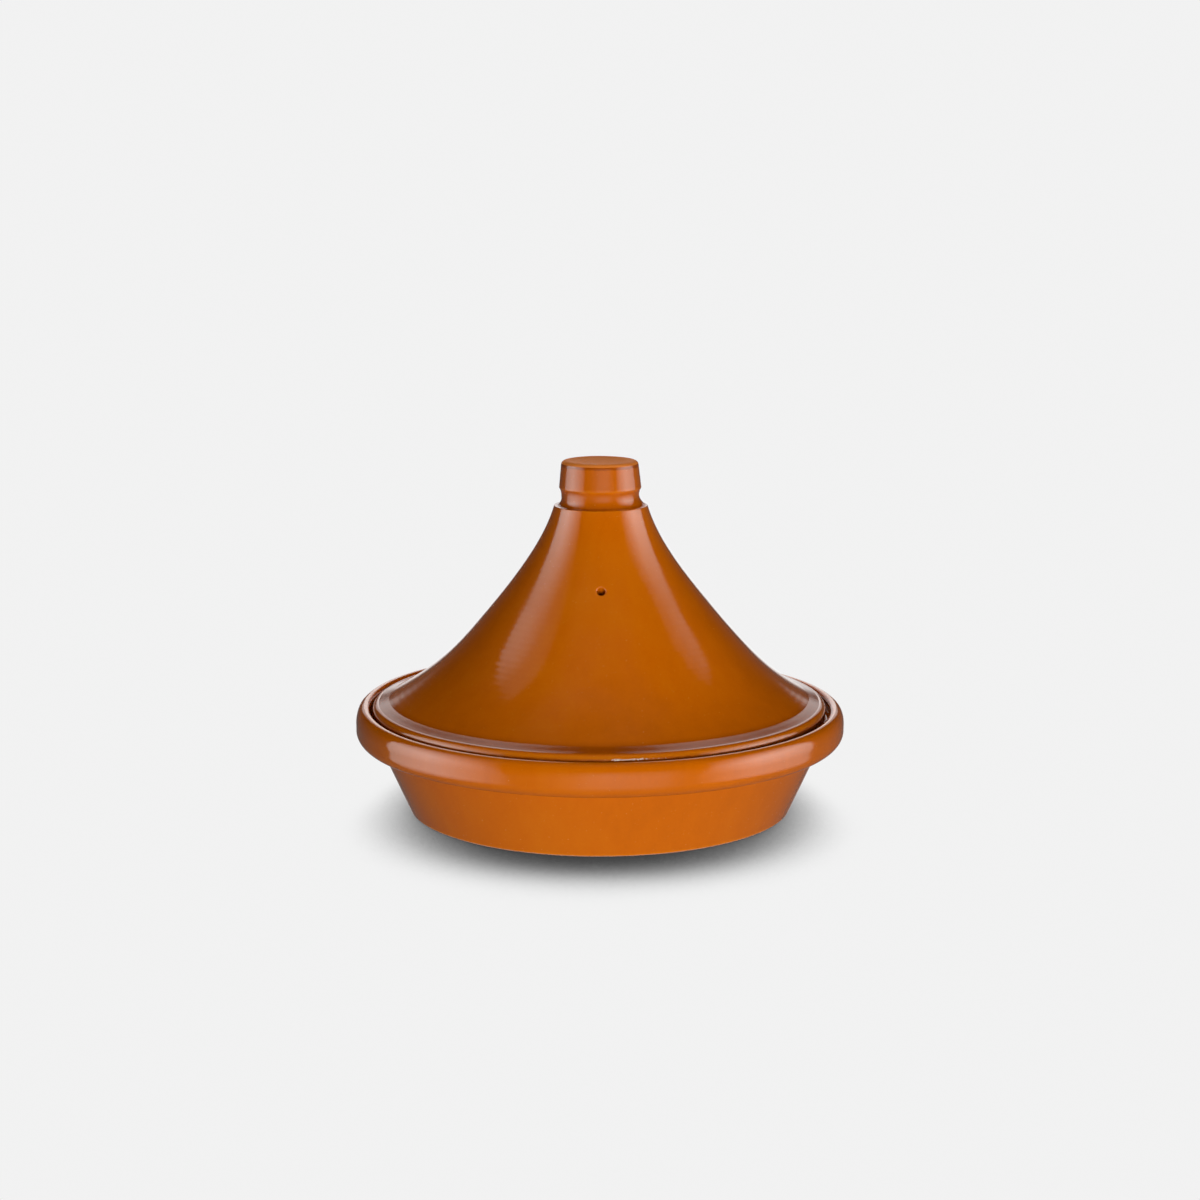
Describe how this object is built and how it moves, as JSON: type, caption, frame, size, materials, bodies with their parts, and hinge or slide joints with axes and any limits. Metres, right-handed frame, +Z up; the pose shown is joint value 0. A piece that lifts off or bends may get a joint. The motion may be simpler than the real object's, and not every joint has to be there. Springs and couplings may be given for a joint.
{
  "type": "tagine pot",
  "caption": "Glazed earthenware tagine: shallow round dish with a rolled rim and a tall conical lift-off lid with a knob and a steam vent.",
  "frame": {"origin": "centre of the circle the foot ring stands on, on the pot's axis", "axes": "+Z up along the pot's axis, from the foot to the knob; -Y towards the side with the steam vent"},
  "size_m": [0.32, 0.32, 0.228],
  "materials": {
    "honey_glaze": "gloss"
  },
  "bodies": {
    "base": {"base_dish": "honey_glaze"},
    "lid": {"lid_cone": "honey_glaze", "lid_knob": "honey_glaze"}
  },
  "joints": [
    {"name": "lid_lift", "type": "slide", "parent": "base", "child": "lid", "axis": [0, 0, 1], "range_m": [0, 0.16]}
  ]
}
